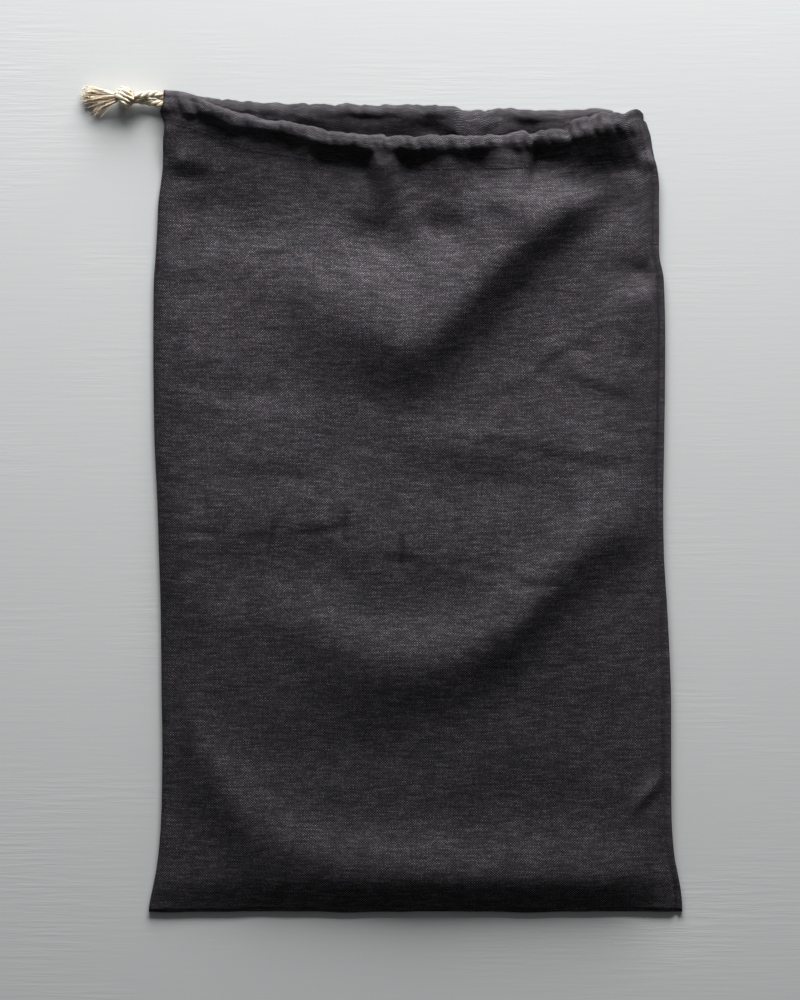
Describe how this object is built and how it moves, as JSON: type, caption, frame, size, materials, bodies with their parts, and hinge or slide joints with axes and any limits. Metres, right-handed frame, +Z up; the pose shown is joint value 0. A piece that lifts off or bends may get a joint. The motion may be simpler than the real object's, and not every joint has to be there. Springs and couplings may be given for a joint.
{
  "type": "linen bread bag",
  "caption": "Flat drawstring bag of dark charcoal linen, lying on its back, with a cream cotton cord knotted and frayed at the left corner",
  "frame": {"origin": "under the middle of the bag's outline, on the surface that it lies on, measured without the cord", "axes": "+Y runs along the bag from its closed bottom to its mouth, +X across it towards the corner without cord ends, +Z up through its thickness"},
  "size_m": [0.3401, 0.4653, 0.0213],
  "materials": {
    "back_linen": "washed charcoal linen, plain weave with slubs",
    "front_linen": "washed charcoal linen, plain weave with slubs",
    "cord_cotton": "three-strand twisted natural cotton",
    "knot_cotton": "three-strand twisted natural cotton, knotted",
    "frayed_cotton": "loose natural cotton yarns"
  },
  "bodies": {
    "root": {"back_panel": "back_linen", "front_panel": "front_linen", "drawstring": "cord_cotton", "cord_knot": "knot_cotton", "frayed_end": "frayed_cotton"}
  },
  "joints": []
}
